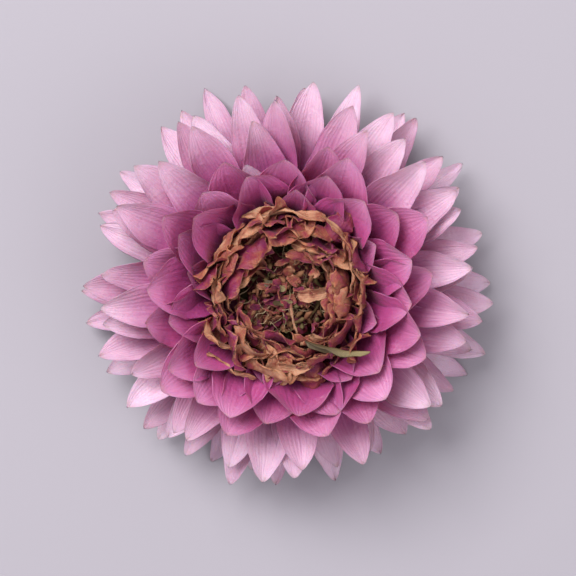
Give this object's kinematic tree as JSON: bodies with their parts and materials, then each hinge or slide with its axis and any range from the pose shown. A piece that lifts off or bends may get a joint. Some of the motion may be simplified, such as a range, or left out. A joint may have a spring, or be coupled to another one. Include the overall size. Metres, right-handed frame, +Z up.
{
  "type": "dried strawflower head",
  "caption": "Dried papery flower head, cut flush under the bloom, with pointed pink bracts in overlapping tiers round a shrivelled ochre ring and a disc of withered florets.",
  "frame": {"origin": "middle of the small flat spot under the receptacle, on the surface the head lies on", "axes": "+Z up along the head's axis, through the middle of the disc; +X to the right of the pictured view, +Y away from the viewer"},
  "size_m": [0.0395, 0.0391, 0.0151],
  "materials": {
    "receptacle": "matt dry tan-green plant tissue",
    "base_scales": "satin straw-brown papery scale",
    "outer_bracts": "satin papery bract, magenta at the root and pale pink at the tip",
    "inner_bracts": "satin papery bract, deep magenta",
    "withered_bracts": "crumpled papery bract, ochre and tan with purple folds",
    "disc_florets": "matt dry brown florets with pale hairs"
  },
  "bodies": {
    "root": {"receptacle": "receptacle", "base_scales": "base_scales", "outer_bracts": "outer_bracts", "inner_bracts": "inner_bracts", "withered_bracts": "withered_bracts", "disc_florets": "disc_florets"}
  },
  "joints": []
}
